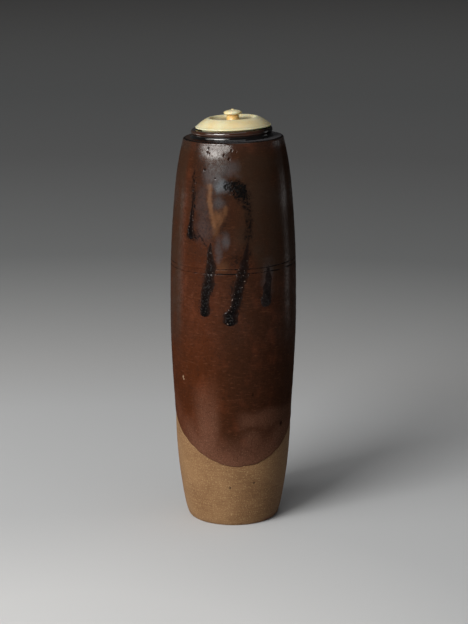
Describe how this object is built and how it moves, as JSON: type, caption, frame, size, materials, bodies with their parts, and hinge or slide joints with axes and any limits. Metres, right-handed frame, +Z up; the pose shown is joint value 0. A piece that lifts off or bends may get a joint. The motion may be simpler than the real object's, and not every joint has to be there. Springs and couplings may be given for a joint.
{
  "type": "chaire tea caddy",
  "caption": "Tall slim stoneware tea caddy with a slanting brown glaze, a short neck and a knobbed ivory lid that lifts off.",
  "frame": {"origin": "centre of the flat foot, on the surface that the jar stands on", "axes": "+Z up along the jar's axis, -Y towards the front where the glaze hangs lowest, +X to the right seen from the front"},
  "size_m": [0.0448, 0.0454, 0.1474],
  "materials": {
    "clay": "matte",
    "brown_glaze": "satin",
    "black_glaze": "gloss",
    "ivory": "satin",
    "ivory_knob": "satin",
    "gold_paper": "satin"
  },
  "bodies": {
    "jar": {"clay_body": "clay", "brown_glaze_coat": "brown_glaze", "glaze_run_left": "black_glaze", "glaze_run_mid_left": "black_glaze", "glaze_run_mid_right": "black_glaze", "glaze_run_right": "black_glaze"},
    "loose_lid": {"lid": "ivory", "lid_knob": "ivory_knob", "lid_lining": "gold_paper"}
  },
  "joints": [
    {"name": "lid_lift", "type": "slide", "parent": "jar", "child": "loose_lid", "axis": [0, 0, 1], "range_m": [0, 0.04]}
  ]
}
